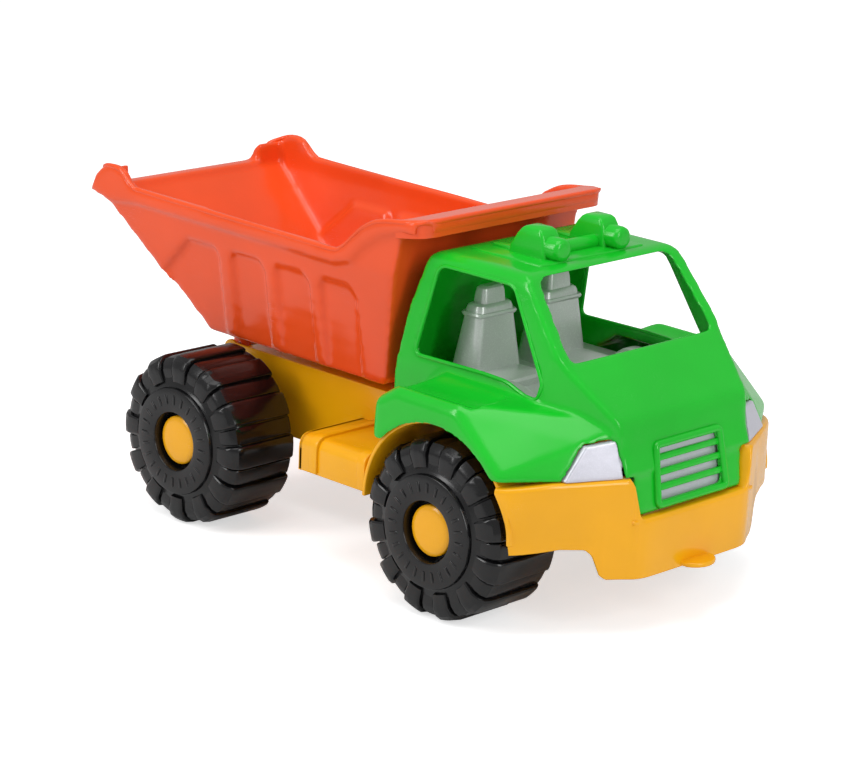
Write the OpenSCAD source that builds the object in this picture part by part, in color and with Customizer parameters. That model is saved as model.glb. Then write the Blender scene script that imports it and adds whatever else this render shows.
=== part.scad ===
// Toy dump truck for the sandpit: a moulded cab and chassis, a tipping tub and four free-rolling wheels.
// X points forward, Y to the truck's left and Z up, all in millimetres, with the ground at Z = 0.
// The modules are drawn with the rear axle at X = 0, and place() then moves them to the middle of the length.

/* [Wheels] */
// Radius of a wheel over its tread lugs
wheel_r = 55; // [45:0.5:66]
// Width of a wheel
wheel_w = 54; // [40:1:66]
// Distance between the two axles
wheelbase = 224; // [190:1:270]
// Distance from the middle of the truck to a wheel's outer face
half_track = 125; // [112:1:150]
// Number of tread lugs on a wheel
lug_count = 12; // [8:1:18]
// Angle that one tread lug covers
lug_angle = 16; // [8:1:20]
// Height of a lug over the low bars between the lugs
lug_rise = 1.8; // [0.8:0.2:3]
// Radius of the raised ring on a wheel's face
ring_r = 34.4; // [28:0.2:40]
// Radius of the round recess that holds the hub cap
recess_r = 18.6; // [14:0.2:22]
// Depth of that recess
recess_depth = 14; // [10:0.5:20]
// Turn of the front wheels at rest, which puts their lugs between those of the rear wheels
front_wheel_turn = 15; // [0:1:30]

/* [Axles and hub caps] */
// Radius of the steel axles
axle_r = 3; // [2:0.1:4]
// Radial clearance of an axle in its bores
axle_fit = 0.06; // [0.02:0.01:0.1]
// Radius of a hub cap
cap_r = 15.6; // [9:0.2:17]
// Thickness of a hub cap
cap_t = 3; // [2:0.2:4]
// Depth of a hub cap's face below the wheel's ring
cap_inset = 4; // [2:0.5:6]

/* [Chassis] */
// Wall thickness of the yellow mouldings
chassis_wall = 2.4; // [2:0.1:3.4]
// Width of the chassis rail box
frame_w = 104; // [90:1:116]
// Height of the top of the rail box
frame_top = 102; // [96:0.5:106]
// Height of the underside of the rail box
frame_bottom = 52; // [46:0.5:58]
// Distance from the middle of the truck to the outside of a side step
step_reach = 105; // [92:1:112]
// Height of the top of a side step
step_top = 80; // [72:0.5:86]
// Height of the underside of a side step
step_bottom = 57; // [54:0.5:62]
// Length of a side step
step_len = 62; // [44:1:66]
// Clear distance from the rear wheel to a side step
step_gap = 40; // [34:1:46]

/* [Bumper] */
// Distance from the front axle to the front of the bumper
bumper_reach = 101; // [92:1:112]
// Height of the bumper's shelf, which the cab stands on
bumper_top = 97; // [92:0.5:100]
// Height of the bumper under the nose
bumper_notch = 73; // [68:0.5:78]
// Height of the bumper's lower edge
bumper_bottom = 37; // [32:0.5:42]
// Height of the lower edge at the bumper's sides
bumper_side_bottom = 57; // [52:0.5:62]
// Half the width of the bumper's flat front
bumper_flat = 48; // [42:0.5:52]
// Reach of the towing tongue beyond the bumper
tongue_reach = 12; // [8:0.5:16]
// Half the width of the towing tongue
tongue_half_w = 13; // [8:0.5:18]

/* [Cab] */
// Wall thickness of the green shell
cab_wall = 2.2; // [2:0.1:3.4]
// Height of the roof
roof_z = 204; // [190:1:216]
// Height of the lower edge of the windscreen
sill_z = 158; // [150:1:164]
// Height of the ridge between bonnet and nose
ridge_z = 129; // [124:0.5:134]
// Half the width of the cab at its waist
cab_half_w = 76; // [70:0.5:80]
// Half the width of the cab at its roof
roof_half_w = 67; // [60:0.5:69]
// Half the width of the mudguards
guard_half_w = 121.6; // [114:0.2:124]
// Height of the top of the mudguards
guard_top = 136; // [130:0.5:140]
// Height of the lower edge of the mudguards
guard_bottom = 100; // [98:0.5:104]
// Clearance of the mudguard's arch around a wheel
arch_gap = 2.7; // [2:0.1:5]
// Number of slots in the grille
slot_count = 4; // [2:1:6]

/* [Dump tub] */
// Wall thickness of the orange tub
tub_wall = 2.2; // [2:0.1:3.4]
// Height of the tub's underside
tub_bottom = 110.5; // [109:0.5:116]
// Height of the tub's side rims
rim_z = 196; // [184:1:204]
// Height of the peaks at the rear corners
ear_z = 208.5; // [200:0.5:216]
// Height of the hood over the cab
hood_z = 224.5; // [218:0.5:232]
// Half the width of the tub at its rims
rim_half_w = 83; // [76:0.5:88]
// Half the width of the tub at its underside
floor_half_w = 68.5; // [62:0.5:70]
// Distance from the rear axle back to the tip of the tub
tub_reach = 136.5; // [120:0.5:146]
// Depth of the pockets pressed into the sides
pocket_depth = 3.6; // [2:0.1:5]
// Number of upright pockets in a side
pocket_count = 3; // [1:1:3]
// Largest tipping angle
tip_angle = 50; // [30:1:52]

/* [Hinge] */
// Radius of the tub's hinge rod
rod_r = 2.5; // [2:0.1:3]
// Radial clearance of the tub on its rod
rod_fit = 0.06; // [0.02:0.01:0.1]
// Distance from the rear axle back to the hinge
hinge_back = 28; // [24:0.5:34]
// Distance from the tub's underside down to the hinge
hinge_drop = 13.5; // [12:0.5:16]

/* [Hidden] */
$fn = 64;

// Gap between two still pieces that rest on each other
seat_gap = 0.2;
front_x = wheelbase + bumper_reach;
mid_x = (front_x + tongue_reach - tub_reach) / 2;
module place() translate([-mid_x, 0, 0]) children();
module both_sides() for (side = [0, 1]) mirror([0, side, 0]) children();
// A flat outline in X and Z, made as deep as depth to each side of the middle
module side_slab(outline, depth)
    rotate([90, 0, 0]) translate([0, 0, -depth]) linear_extrude(2 * depth) polygon(outline);
// A flat outline in Y and Z, made solid from x0 to x1
module front_slab(outline, x0, x1)
    translate([x0, 0, 0]) rotate([90, 0, 90]) linear_extrude(x1 - x0) polygon(outline);
// An outline given for the left half, with its mirror image added
function two_halves(half) =
    concat(half, [for (i = [len(half) - 1 : -1 : 0]) [half[i][0], -half[i][1]]]);
// The same for an outline in Y and Z
function front_halves(half) =
    concat(half, [for (i = [len(half) - 1 : -1 : 0]) [-half[i][0], half[i][1]]]);

// Wheels and axles
tyre_wall = 2.4;
face_t = 3.4;
hub_r = 9;
boss_end = half_track - wheel_w + 3;
hub_end = half_track - boss_end - 1;
recess_floor = recess_depth + tyre_wall;
barrel_r = wheel_r - lug_rise;
shoulder = 12;
// Cross-section of a wheel: radius and depth behind the wheel's face
function wheel_section() = [
    [axle_r + axle_fit, recess_depth], [recess_r, recess_depth], [recess_r, 0], [ring_r, 0],
    [ring_r, face_t], [ring_r + 8, face_t + 2.5], [barrel_r - 7, face_t + 4.6],
    [barrel_r, shoulder + 4], [barrel_r, wheel_w], [barrel_r - tyre_wall, wheel_w],
    [barrel_r - tyre_wall, shoulder + 5.2], [barrel_r - 9, face_t + 7.8],
    [ring_r + 1, face_t + 5.4], [recess_r + tyre_wall, face_t + 4],
    [recess_r + tyre_wall, recess_floor], [hub_r, recess_floor], [hub_r, hub_end],
    [axle_r + axle_fit, hub_end]
];
// Cross-section of a tread lug, which wraps over the shoulder
function lug_section() = [
    [ring_r + 3.6, face_t], [wheel_r - 8, face_t], [wheel_r - 3.5, face_t + 1.4],
    [wheel_r - 0.8, face_t + 4.6], [wheel_r, shoulder], [wheel_r, wheel_w - 1.5],
    [wheel_r - 1.2, wheel_w], [barrel_r - 1, wheel_w], [barrel_r - 1, shoulder + 4.5],
    [barrel_r - 8.2, face_t + 6], [ring_r + 3.6, face_t + 4]
];
module wheel_form(turn) {
    rotate([0, 0, turn]) {
        rotate_extrude($fn = 96) polygon(wheel_section());
        for (i = [0 : lug_count - 1])
            rotate([0, 0, 90 + i * 360 / lug_count - lug_angle / 2])
                rotate_extrude(angle = lug_angle, start = 0, $fn = 96) polygon(lug_section());
    }
}
// Moves a piece drawn from a wheel's face inwards to the wheel of that side
module at_wheel(x, side)
    place() mirror([0, side > 0 ? 1 : 0, 0])
        translate([x, -half_track, wheel_r]) rotate([-90, 0, 0]) children();
module wheel(x, side, turn) color([0.17, 0.17, 0.18]) at_wheel(x, side) wheel_form(turn);
module wheel_front_left() wheel(wheelbase, 1, front_wheel_turn);
module wheel_front_right() wheel(wheelbase, -1, front_wheel_turn);
module wheel_rear_left() wheel(0, 1, 0);
module wheel_rear_right() wheel(0, -1, 0);

// A hub cap is pushed onto the end of its axle, and its stem stops just short of the wheel
axle_inset = cap_inset + cap_t - 0.8;
stem_r = axle_r + 3.2;
module hub_cap(x, side) color([0.98, 0.72, 0.08]) at_wheel(x, side)
    difference() {
        union() {
            translate([0, 0, cap_inset + 0.8]) cylinder(h = cap_t - 0.8, r = cap_r);
            translate([0, 0, cap_inset]) cylinder(h = 0.8, r1 = cap_r - 0.8, r2 = cap_r);
            translate([0, 0, cap_inset + cap_t])
                cylinder(h = recess_depth - cap_inset - cap_t - 0.3, r = stem_r);
        }
        translate([0, 0, axle_inset]) cylinder(h = recess_depth, r = axle_r);
    }
module hub_cap_front_left() hub_cap(wheelbase, 1);
module hub_cap_front_right() hub_cap(wheelbase, -1);
module hub_cap_rear_left() hub_cap(0, 1);
module hub_cap_rear_right() hub_cap(0, -1);
module axle(x) color([0.72, 0.73, 0.75]) place()
    translate([x, 0, wheel_r]) rotate([90, 0, 0])
        cylinder(h = 2 * (half_track - axle_inset), r = axle_r, center = true);
module axle_front() axle(wheelbase);
module axle_rear() axle(0);

// Hinge
hinge_x = -hinge_back;
hinge_z = tub_bottom - hinge_drop;
knuckle_r = rod_r + 4;
module along_hinge(r, y0, y1) translate([hinge_x, y1, hinge_z]) rotate([90, 0, 0])
    cylinder(h = y1 - y0, r = r);
module hinge_rod() color([0.72, 0.73, 0.75]) place()
    along_hinge(rod_r, -frame_w / 2 - 0.5, frame_w / 2 + 0.5);

// Chassis
arch_r = wheel_r + arch_gap;
arch_z = wheel_r + 5.7;
liner_t = 2.5;
rail_rear = hinge_x - 12;
rail_turn = wheelbase + 40;
rail_front = wheelbase + 88;
plate_start = hinge_x + knuckle_r + 7;
low_shelf = bumper_notch - seat_gap;
cab_base = bumper_top + seat_gap;
screw_r = 1.4;
rear_screw = [wheelbase - 71, 36];
front_screw = [wheelbase + 86, 39];
screw_hole_r = screw_r + 0.5;
screw_hole_h = 20;
tail_board_top = hinge_z - 12;
// Half widths of the shelf under the nose, and of the notch whose ledges carry the cab
shelf_half_w = 60;
ledge_y = 54.6;
ledge_inset = 1;
flute_r = 2.2;
flute_drop = 2;
flute_places = [12, step_len - 8];
liner_inset = 3.6;
liner_y = guard_half_w - liner_inset;
liner_front = wheelbase + 30;
beyond = 2 * half_track;
// Plan outline of the bumper, drawn in by inset on every side
function bumper_plan(inset) = two_halves([
    [rail_turn, guard_half_w - inset], [wheelbase + 52, guard_half_w - inset],
    [wheelbase + 62 - inset * 0.6, guard_half_w - 9 - inset * 0.8],
    [wheelbase + 72 - inset * 0.8, guard_half_w - 22 - inset * 0.7],
    [wheelbase + 80 - inset * 0.9, guard_half_w - 37 - inset * 0.5],
    [front_x - 5 - inset * 0.9, bumper_flat + 9 - inset * 0.5],
    [front_x - inset, bumper_flat - inset * 0.3]
]);
// Front view of the bumper: the notch for the nose above, and the deeper middle below
function bumper_front() = front_halves([
    [bumper_flat - 1, bumper_bottom - 1], [66, bumper_bottom], [73, bumper_bottom + 4],
    [80, bumper_side_bottom - 3], [90, bumper_side_bottom + 1],
    [guard_half_w + 1, bumper_side_bottom - 3],
    [guard_half_w + 1, bumper_top - 2.5], [96, bumper_top], [ledge_y, bumper_top], [bumper_flat - 1, bumper_notch]
]);
module bumper() {
    intersection() {
        difference() {
            linear_extrude(bumper_top) polygon(bumper_plan(0));
            translate([0, 0, -1]) linear_extrude(bumper_top + 2) polygon(bumper_plan(chassis_wall));
        }
        front_slab(bumper_front(), 0, front_x);
    }
    // The shelf that carries the nose, and the ledges that carry the cab's sides
    intersection() {
        linear_extrude(bumper_top) polygon(bumper_plan(ledge_inset));
        translate([rail_turn, -shelf_half_w, low_shelf - chassis_wall])
            cube([bumper_reach, 2 * shelf_half_w, chassis_wall]);
    }
    intersection() {
        linear_extrude(bumper_top) polygon(bumper_plan(ledge_inset));
        both_sides() translate([rail_turn, ledge_y, low_shelf - chassis_wall])
            cube([bumper_reach, chassis_wall, bumper_top - low_shelf + chassis_wall]);
    }
    translate([front_x - chassis_wall, 0, bumper_bottom]) linear_extrude(chassis_wall) intersection() {
        circle(r = tongue_reach + chassis_wall);
        translate([0, -tongue_half_w]) square([tongue_reach + chassis_wall, 2 * tongue_half_w]);
    }
}
module side_step() {
    x0 = wheel_r + step_gap;
    x1 = wheelbase - arch_r + 4;
    difference() {
        union() {
            translate([x0, frame_w / 2 - chassis_wall, step_bottom])
                cube([x1 - x0, step_reach - frame_w / 2 + chassis_wall, step_top - step_bottom]);
            for (along = flute_places) translate([x0 + along, step_reach, step_bottom])
                cylinder(h = step_top - step_bottom - flute_drop, r = flute_r);
        }
        translate([x0 + chassis_wall, frame_w / 2, step_bottom - 1])
            cube([x1 - x0, step_reach - frame_w / 2 - chassis_wall, step_top - step_bottom - chassis_wall + 1]);
    }
}
// Half-round liner over a front wheel
module arch_liner() difference() {
    translate([wheelbase, liner_y, arch_z]) rotate([90, 0, 0])
        cylinder(h = liner_y - frame_w / 2 + chassis_wall, r = arch_r + liner_t, $fn = 96);
    translate([wheelbase - beyond, 0, 0]) cube([2 * beyond, beyond, step_bottom]);
    translate([liner_front, 0, 0]) cube([beyond, beyond, bumper_side_bottom]);
}
module chassis() color([0.98, 0.72, 0.08]) place() difference() {
    union() {
        both_sides() {
            difference() {
                side_slab([
                    [rail_rear, frame_bottom], [rail_front, frame_bottom], [rail_front, low_shelf],
                    [rail_turn, low_shelf], [rail_turn, frame_top], [hinge_x, frame_top],
                    [hinge_x - knuckle_r + 1, hinge_z], [rail_rear, tail_board_top]
                ], frame_w / 2);
                translate([rail_rear - 1, -frame_w, 0])
                    cube([2 * front_x, 1.5 * frame_w - chassis_wall, beyond]);
            }
            along_hinge(knuckle_r, frame_w / 2 - chassis_wall, frame_w / 2);
            for (x = [0, wheelbase]) translate([x, boss_end, wheel_r]) rotate([90, 0, 0])
                cylinder(h = boss_end - frame_w / 2 + chassis_wall, r = hub_r);
        }
        difference() {
            union() {
                both_sides() {
                    side_step();
                    arch_liner();
                }
                bumper();
            }
            both_sides() translate([wheelbase, beyond, arch_z]) rotate([90, 0, 0])
                cylinder(h = beyond - frame_w / 2, r = arch_r, $fn = 96);
        }
        translate([plate_start, -frame_w / 2, frame_top - chassis_wall])
            cube([rail_turn - plate_start, frame_w, chassis_wall]);
        translate([rail_rear, -frame_w / 2, frame_bottom])
            cube([chassis_wall, frame_w, tail_board_top - frame_bottom]);
    }
    // Axle bores, the bore of the hinge rod and the screw holes
    for (x = [0, wheelbase]) translate([x, 0, wheel_r]) rotate([90, 0, 0])
        cylinder(h = 4 * half_track, r = axle_r + axle_fit, center = true);
    along_hinge(rod_r, -frame_w, frame_w);
    both_sides() {
        translate([rear_screw[0], rear_screw[1], frame_top - screw_hole_h / 2])
            cylinder(h = screw_hole_h, r = screw_hole_r);
        translate([front_screw[0], front_screw[1], low_shelf - screw_hole_h / 2])
            cylinder(h = screw_hole_h, r = screw_hole_r);
    }
}

// Cab
guard_rear = wheelbase - 51.5;
roof_rear = wheelbase - 57;
roof_front = wheelbase + 15.5;
sill_x = wheelbase + 53;
ridge_x = wheelbase + 86;
nose_x = front_x - 4.5;
nose_half_top = 54;
nose_half_bottom = 46;
edge_r = 5;
lamp_y = 90;
grille_r = 2.2;
grille_stand = 2;
slot_half_w = 26;
slot_depth = 16;
slot_bar = 4;
pod_x = wheelbase - 8;
pod_y = 26.5;
pod_h = 18;
pod_knob_r = 7.5;
pod_knob_t = 9;
pod_bar_r = 4.6;
roof_panel_half_w = 45;
roof_panel_t = 1.8;
screw_boss_r = 4.6;
rear_boss_h = 15;
front_boss_h = 20;
pilot_r = screw_r + 0.05;
// Side view of the cabin and bonnet, drawn in by inset
function cabin_side(t) = [
    [wheelbase - 79 + t, frame_top - 10], [wheelbase - 77 + t, ridge_z],
    [roof_rear - 6 + t, roof_z - 8], [roof_rear + 2 + t * 0.7, roof_z - 1.5 - t],
    [roof_front - t * 0.6, roof_z - t],
    [sill_x - t * 1.1, sill_z - t * 0.5], [ridge_x - t, ridge_z - t * 0.7],
    [nose_x - 5 - t, cab_base - 4]
];
function cabin_plan(t) = two_halves([
    [wheelbase - 90, cab_half_w - t], [wheelbase + 44, cab_half_w - t],
    [ridge_x + 1, nose_half_top + 0.5 - t], [nose_x, nose_half_top - t]
]);
function cabin_front(t) = front_halves([
    [cab_half_w - t, 0], [cab_half_w - t, ridge_z + 5], [roof_half_w + 1 - t, roof_z - 8],
    [roof_half_w - 3 - t, roof_z], [0, roof_z + 0.5]
]);
module cabin(t) intersection() {
    side_slab(cabin_side(t), 2 * cab_half_w);
    linear_extrude(2 * roof_z) polygon(cabin_plan(t));
    front_slab(cabin_front(t), 0, 2 * front_x);
}
module nose(t) intersection() {
    side_slab([[sill_x - t, bumper_notch - 9], [sill_x - t, ridge_z - t], [ridge_x - t, ridge_z - t],
        [nose_x - t, bumper_notch - 1], [nose_x - t, bumper_notch - 9]], cab_half_w);
    front_slab(front_halves([[nose_half_bottom - t, bumper_notch - 8], [nose_half_bottom - t, bumper_notch],
        [nose_half_top - t, ridge_z + 1]]), 0, 2 * front_x);
}
// Corners of the mudguards and lamp housings on the left, as far in as the edges are rounded
guard_corners = [
    [guard_rear + edge_r, guard_half_w - edge_r, guard_top - 9 - edge_r],
    [guard_rear + edge_r + 11, guard_half_w - edge_r, guard_top - edge_r],
    [guard_rear + edge_r, guard_half_w - edge_r, guard_bottom],
    [wheelbase + 22, guard_half_w - edge_r - 1, guard_top - edge_r - 1],
    [wheelbase + 50, guard_half_w - edge_r, guard_bottom],
    [wheelbase + 66, guard_half_w - 17 - edge_r, cab_base + 1],
    [wheelbase + 76 - edge_r * 0.8, lamp_y - edge_r * 0.5, cab_base],
    [nose_x - 4 - edge_r * 0.9, nose_half_top + 3 - edge_r * 0.5, cab_base],
    [wheelbase + 78 - edge_r, 78 - edge_r * 0.5, ridge_z - 8 - edge_r],
    [ridge_x - edge_r * 0.8, nose_half_top - edge_r * 0.4, ridge_z - edge_r - 0.5]
];
module guards(t) hull() both_sides() for (p = guard_corners)
    translate(p) sphere(r = edge_r - t, $fn = 16);
// Outline of a lamp opening in front view, drawn in by inset
function lamp_front(t) = [
    [nose_half_top + 2.5 + t, cab_base - 6 + t], [nose_half_top + 4 + t, ridge_z - 10 - t],
    [lamp_y - 14 - t, ridge_z - 12 - t], [lamp_y - t, cab_base + 1], [lamp_y - t, cab_base - 6 + t]
];
module lamp_prism(t, x0) for (s = [-1, 1])
    front_slab([for (p = lamp_front(t)) [s * p[0], p[1]]], x0, front_x);
module side_windows() side_slab([
    [wheelbase - 62, sill_z - 15.5], [wheelbase - 51, roof_z - 12], [wheelbase - 44, roof_z - 8.5],
    [wheelbase + 6, roof_z - 8.5], [wheelbase + 12, roof_z - 13], [wheelbase + 38, sill_z - 11],
    [wheelbase + 35, sill_z - 20], [wheelbase + 30, sill_z - 21.5], [wheelbase + 13, sill_z - 16.5]
], 2 * cab_half_w);
module windscreen() front_slab(front_halves([
    [60, sill_z], [63.5, sill_z + 3], [58.5, roof_z - 5.5], [55, roof_z - 3.5]
]), roof_front - 6, front_x);
// Grille frame and slots, leaning back with the nose
nose_lean = atan((nose_x - ridge_x) / (ridge_z - bumper_notch));
grille_h = 39;
slot_pitch = (grille_h - slot_bar) / slot_count;
module on_nose() translate([nose_x, 0, bumper_notch]) rotate([0, -nose_lean, 0]) children();
grille_corners = [[-31.5, 2], [31.5, 2], [29, grille_h - 2], [-29, grille_h - 2]];
module grille_frame() on_nose() translate([-grille_stand, 0, grille_r + 0.3]) for (i = [0 : 3]) hull()
    for (c = [grille_corners[i], grille_corners[(i + 1) % 4]])
        translate([0, c[0], c[1]]) rotate([0, 90, 0]) cylinder(h = grille_stand + 1.6, r = grille_r, $fn = 16);
module grille_slots() on_nose() for (i = [0 : slot_count - 1])
    translate([slot_bar - slot_depth, -slot_half_w, slot_bar + 3.4 + i * slot_pitch])
        cube([slot_depth, 2 * slot_half_w, slot_pitch - slot_bar]);
// Lamp pods on the roof, with the bar that joins them
module roof_pods() {
    both_sides() translate([pod_x, pod_y, roof_z]) {
        hull() for (y = [-8, 7]) translate([0, y, 0]) {
            translate([-20, 0, -3]) cube([27, 1, pod_h - 8]);
            translate([-12, 0, pod_h - 10]) cube([pod_knob_t, 1, 10]);
        }
        translate([5, 0, 7]) rotate([0, 90, 0]) cylinder(h = pod_knob_t, r = pod_knob_r);
        translate([5, -pod_knob_r, -2]) cube([pod_knob_t, 2 * pod_knob_r, 8]);
    }
    translate([pod_x, 0, roof_z + 3]) rotate([90, 0, 0])
        cylinder(h = 2 * pod_y, r = pod_bar_r, center = true);
    translate([roof_rear + 8, -roof_panel_half_w, roof_z - 1])
        cube([roof_front - roof_rear - 18, 2 * roof_panel_half_w, roof_panel_t]);
}
module screw_boss(at, z0, h) translate([at[0], at[1], z0]) cylinder(h = h, r = screw_boss_r);
// Room that the chassis, the bumper and the wheels take below the cab
module room_below() {
    side_slab([[0, 0], [2 * front_x, 0], [2 * front_x, cab_base], [wheelbase + 20, cab_base],
        [wheelbase + 20, guard_bottom], [0, guard_bottom]], 2 * half_track);
    side_slab([[0, -1], [rail_turn + 3, -1], [rail_turn + 3, frame_top + seat_gap],
        [0, frame_top + seat_gap]], frame_w / 2 + 0.5);
    both_sides() translate([wheelbase, beyond, arch_z]) rotate([90, 0, 0])
        cylinder(h = beyond - cab_half_w - 2, r = arch_r, $fn = 96);
}
module cab_shell() color([0.1, 0.78, 0.18]) place() difference() {
    union() {
        difference() {
            union() {
                difference() {
                    union() {
                        cabin(0);
                        guards(0);
                    }
                    room_below();
                }
                nose(0);
            }
            cabin(cab_wall);
            nose(cab_wall);
            guards(cab_wall);
            translate([0, -beyond, -1]) cube([3 * front_x, 2 * beyond, bumper_notch + 1]);
        }
        grille_frame();
        roof_pods();
        both_sides() {
            screw_boss(rear_screw, frame_top + seat_gap, rear_boss_h);
            screw_boss(front_screw, bumper_notch + 0.1, front_boss_h);
        }
    }
    both_sides() {
        translate([rear_screw[0], rear_screw[1], 0]) cylinder(h = frame_top + rear_boss_h - 3, r = pilot_r);
        translate([front_screw[0], front_screw[1], 0]) cylinder(h = bumper_notch + front_boss_h - 5, r = pilot_r);
    }
    side_windows();
    windscreen();
    lamp_prism(0, strap_x);
    grille_slots();
}

// Silver interior: the floor on its legs, with two seat backs
floor_t = 2.4;
floor_z = arch_z + arch_r + liner_t + 1.2;
seat_y = 29.3;
seat_base_w = 40;
seat_top_w = 30;
headrest_w = 20;
seat_back_h = 47;
headrest_h = 57;
cushion_w = 36;
cushion_h = 7;
leg_y = 22;
leg_t = 2.5;
seat_floor_y = cab_half_w - cab_wall - 2;
module seat_back() {
    hull() {
        translate([wheelbase - 58, -seat_base_w / 2, floor_z]) cube([22, seat_base_w, 1]);
        translate([wheelbase - 53, -seat_top_w / 2, floor_z + seat_back_h]) cube([14, seat_top_w, 1]);
    }
    hull() {
        translate([wheelbase - 51, -headrest_w / 2, floor_z + seat_back_h - 1]) cube([10, headrest_w, 1]);
        translate([wheelbase - 50, 1.5 - headrest_w / 2, floor_z + headrest_h]) cube([8, headrest_w - 3, 1]);
    }
}
module seat_insert() color([0.68, 0.72, 0.7]) place() {
    translate([wheelbase - 64, -seat_floor_y, floor_z]) cube([104, 2 * seat_floor_y, floor_t]);
    both_sides() {
        translate([0, seat_y, 0]) seat_back();
        translate([wheelbase - 36, seat_y - cushion_w / 2, floor_z + 1]) cube([24, cushion_w, cushion_h]);
        translate([wheelbase - 50, leg_y, frame_top + seat_gap]) cube([84, leg_t, floor_z - frame_top]);
    }
}

// Silver lamp piece: a strip behind the nose that fills both lamp openings
lamp_gap = 0.4;
lens_inset = 0.7;
lens_t = 3.7;
plate_t = 2;
plate_half_w = 33;
strap_t = 1.6;
strap_x = wheelbase + 60;
module lamp_insert() color([0.84, 0.84, 0.88]) place() {
    intersection() {
        difference() {
            guards(lens_inset);
            guards(lens_inset + lens_t);
        }
        lamp_prism(lamp_gap, strap_x);
        translate([0, -beyond, cab_base]) cube([2 * front_x, 2 * beyond, roof_z]);
    }
    intersection() {
        difference() {
            nose(cab_wall + lamp_gap);
            nose(cab_wall + lamp_gap + plate_t);
        }
        translate([nose_x - 20, -plate_half_w, bumper_notch + 3])
            cube([40, 2 * plate_half_w, grille_h + 5]);
    }
    intersection() {
        difference() {
            guards(cab_wall + lamp_gap);
            guards(cab_wall + lamp_gap + strap_t);
        }
        translate([strap_x, -cab_half_w - 4, cab_base + 6]) cube([60, 2 * cab_half_w + 8, 8]);
    }
}

// Self-tapping screws that hold the cab down from below
screw_head_h = 1.8;
screw_head_r = 3.2;
module cab_screw(at, z) color([0.6, 0.6, 0.62]) place() translate([at[0], at[1], z]) {
    cylinder(h = chassis_wall + seat_gap + 9, r = screw_r);
    translate([0, 0, -screw_head_h]) cylinder(h = screw_head_h, r1 = screw_head_r - 1, r2 = screw_head_r);
}
module cab_screw_rear_left() cab_screw(rear_screw, frame_top - chassis_wall);
module cab_screw_rear_right() cab_screw([rear_screw[0], -rear_screw[1]], frame_top - chassis_wall);
module cab_screw_front_left() cab_screw(front_screw, low_shelf - chassis_wall);
module cab_screw_front_right() cab_screw([front_screw[0], -front_screw[1]], low_shelf - chassis_wall);

// Dump tub
tail_x = 8.5 - tub_reach;
tail_top = rim_z - 8;
floor_rear = hinge_x - 6;
tub_foot = wheelbase - 92;
foot_z = tub_bottom + 6;
tub_lean = 0.2;
hood_x = wheelbase - 52;
ear_x = 26.5 - tub_reach;
rim_flange = 3;
side_top = rim_half_w - rim_flange;
flange_z = rim_z - 10;
above_all = 2 * hood_z;
tail_angle = atan2(tail_top - tub_bottom, floor_rear - tail_x);
wall_slope = (side_top - floor_half_w) / (flange_z - tub_bottom);
function front_at(z) = tub_foot + (z - foot_z) * tub_lean;
// Side view of the tub's body, drawn in by t: sloped tail and leaning front
function tub_side(t) = [
    [floor_rear + t * tan(tail_angle / 2), tub_bottom + t], [tub_foot - 6 - t, tub_bottom + t],
    [tub_foot - t, foot_z + t * 0.3], [front_at(above_all) - t, above_all],
    [tail_x + t / sin(tail_angle), above_all], [tail_x + t / sin(tail_angle), tail_top]
];
function tub_front(t) = front_halves([
    [floor_half_w - 3 - t, tub_bottom], [floor_half_w - t, tub_bottom + 5],
    [side_top - t, flange_z], [side_top - t, above_all]
]);
module tub_form(t) intersection() {
    side_slab(tub_side(t), 2 * rim_half_w);
    front_slab(tub_front(t), -2 * tub_reach, 2 * wheelbase);
}
// Side view of the top edge: drooping tip, peak at the tail, level rim, and the rise to the hood
rim_line = [
    [-tub_reach, tail_top - 1], [-tub_reach + 5.5, rim_z + 3], [ear_x - 15, ear_z - 4.5],
    [ear_x - 8, ear_z - 0.5], [ear_x, ear_z], [ear_x + 8, ear_z - 2.5], [ear_x + 13, rim_z + 4],
    [ear_x + 18, rim_z + 1], [wheelbase - 128, rim_z - 2], [wheelbase - 120, rim_z + 1.5],
    [wheelbase - 104, hood_z - 12], [wheelbase - 94, hood_z - 7], [wheelbase - 84, hood_z - 4.5],
    [hood_x, hood_z]
];
module under_rim() side_slab(concat(rim_line, [[hood_x, 0], [-tub_reach, 0]]), 2 * rim_half_w);
// Flange along the rims, the plate and lip of the hood, and the lip of the tail
module tub_band() side_slab(concat(rim_line, [
    [hood_x, hood_z - 10], [wheelbase - 76, hood_z - 12], [wheelbase - 90, hood_z - 17],
    [wheelbase - 104, rim_z + 2], [wheelbase - 114, rim_z - 8], [wheelbase - 128, rim_z - 12],
    [ear_x + 18, flange_z], [tail_x + 12, tail_top - 5], [tail_x + 2, tail_top - 3]
]), rim_half_w);
// The hollow underside of the hood
module hood_room() {
    hood_t = tub_wall + 0.4;
    side_slab([
        [front_at(rim_z) + 1, rim_z], [front_at(hood_z) + 1, hood_z - 3 - hood_t],
        [hood_x - tub_wall, hood_z - 1 - hood_t], [hood_x - tub_wall, rim_z]
    ], rim_half_w - tub_wall);
}
// The hollow underside of the tail's lip, and the low stretch between the corner peaks
module tail_room() side_slab([
    [tail_x - 1, 0], [tail_x - 1, tail_top - 0.5], [tub_wall - tub_reach, tail_top - 0.5],
    [tub_wall - tub_reach, 0]
], rim_half_w - tub_wall);
module tail_notch() front_slab(front_halves([
    [rim_half_w - 26, rim_z - 5], [rim_half_w - 15, above_all]
]), -2 * tub_reach, tail_x + 8);
// Upright pockets pressed into the sides, and one more that follows the tail
pocket_rib = 9;
pocket_start = floor_rear + 30;
pocket_pitch = (tub_foot - 13 - pocket_start) / pocket_count;
pocket_w = pocket_pitch - pocket_rib;
pocket_top = rim_z - 25;
pocket_low = tub_bottom - 6;
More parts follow.
